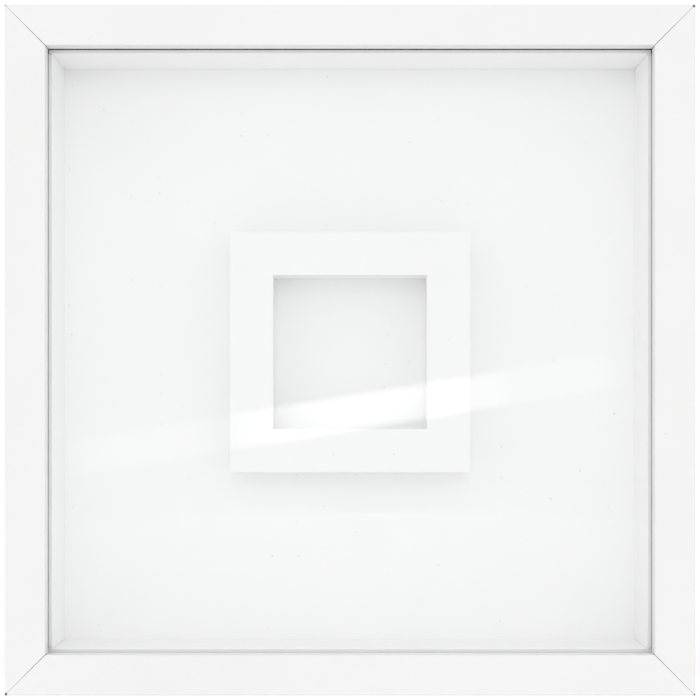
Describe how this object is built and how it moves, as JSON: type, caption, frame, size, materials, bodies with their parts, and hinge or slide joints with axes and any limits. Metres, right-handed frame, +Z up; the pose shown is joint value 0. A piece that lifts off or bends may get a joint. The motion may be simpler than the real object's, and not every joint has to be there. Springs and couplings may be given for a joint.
{
  "type": "shadow box",
  "caption": "Square white shadow box: deep mitred frame, glazing on a spacer liner, and a lift-out back with a raised window mat, held by turn buttons; stands or hangs on a sawtooth hanger.",
  "frame": {"origin": "centre of the box's footprint, on the underside of the bottom rail", "axes": "+Z up, the glazed front faces -Y, +X to the right as seen from the front"},
  "size_m": [0.272, 0.049, 0.272],
  "materials": {
    "rail_foil": "satin",
    "liner": "matte",
    "backing": "matte",
    "mat": "matte",
    "foam_board": "matte",
    "hardboard": "matte",
    "zinc_steel": "satin",
    "glazing": "polished"
  },
  "bodies": {
    "frame": {"rail_top": "rail_foil", "rail_bottom": "rail_foil", "rail_left": "rail_foil", "rail_right": "rail_foil", "corner_nail_bottom_left": "zinc_steel", "corner_nail_top_left": "zinc_steel", "corner_nail_top_right": "zinc_steel", "corner_nail_bottom_right": "zinc_steel", "glazing": "glazing", "spacer_top": "liner", "spacer_bottom": "liner", "spacer_left": "liner", "spacer_right": "liner", "button_screw_lower_left": "zinc_steel", "button_screw_upper_left": "zinc_steel", "button_screw_lower_right": "zinc_steel", "button_screw_upper_right": "zinc_steel", "sawtooth_hanger": "zinc_steel", "hanger_tack_left": "zinc_steel", "hanger_tack_right": "zinc_steel"},
    "loading_pack": {"back_panel": "hardboard", "backing_board": "backing", "riser_top": "foam_board", "riser_bottom": "foam_board", "riser_left": "foam_board", "riser_right": "foam_board", "window_mat": "mat"},
    "button_lower_left": {"turn_button_lower_left": "zinc_steel"},
    "button_upper_left": {"turn_button_upper_left": "zinc_steel"},
    "button_lower_right": {"turn_button_lower_right": "zinc_steel"},
    "button_upper_right": {"turn_button_upper_right": "zinc_steel"}
  },
  "joints": [
    {"name": "pack_slide", "type": "slide", "parent": "frame", "child": "loading_pack", "axis": [0, 1, 0], "range_m": [0, 0.06]},
    {"name": "button_turn_lower_left", "type": "hinge", "parent": "frame", "child": "button_lower_left", "pos_m": [-0.13075, 0.0216, 0.061], "axis": [0, -1, 0], "range_deg": [0, 90]},
    {"name": "button_turn_upper_left", "type": "hinge", "parent": "frame", "child": "button_upper_left", "pos_m": [-0.13075, 0.0216, 0.211], "axis": [0, 1, 0], "range_deg": [0, 90]},
    {"name": "button_turn_lower_right", "type": "hinge", "parent": "frame", "child": "button_lower_right", "pos_m": [0.13075, 0.0216, 0.061], "axis": [0, 1, 0], "range_deg": [0, 90]},
    {"name": "button_turn_upper_right", "type": "hinge", "parent": "frame", "child": "button_upper_right", "pos_m": [0.13075, 0.0216, 0.211], "axis": [0, -1, 0], "range_deg": [0, 90]}
  ]
}
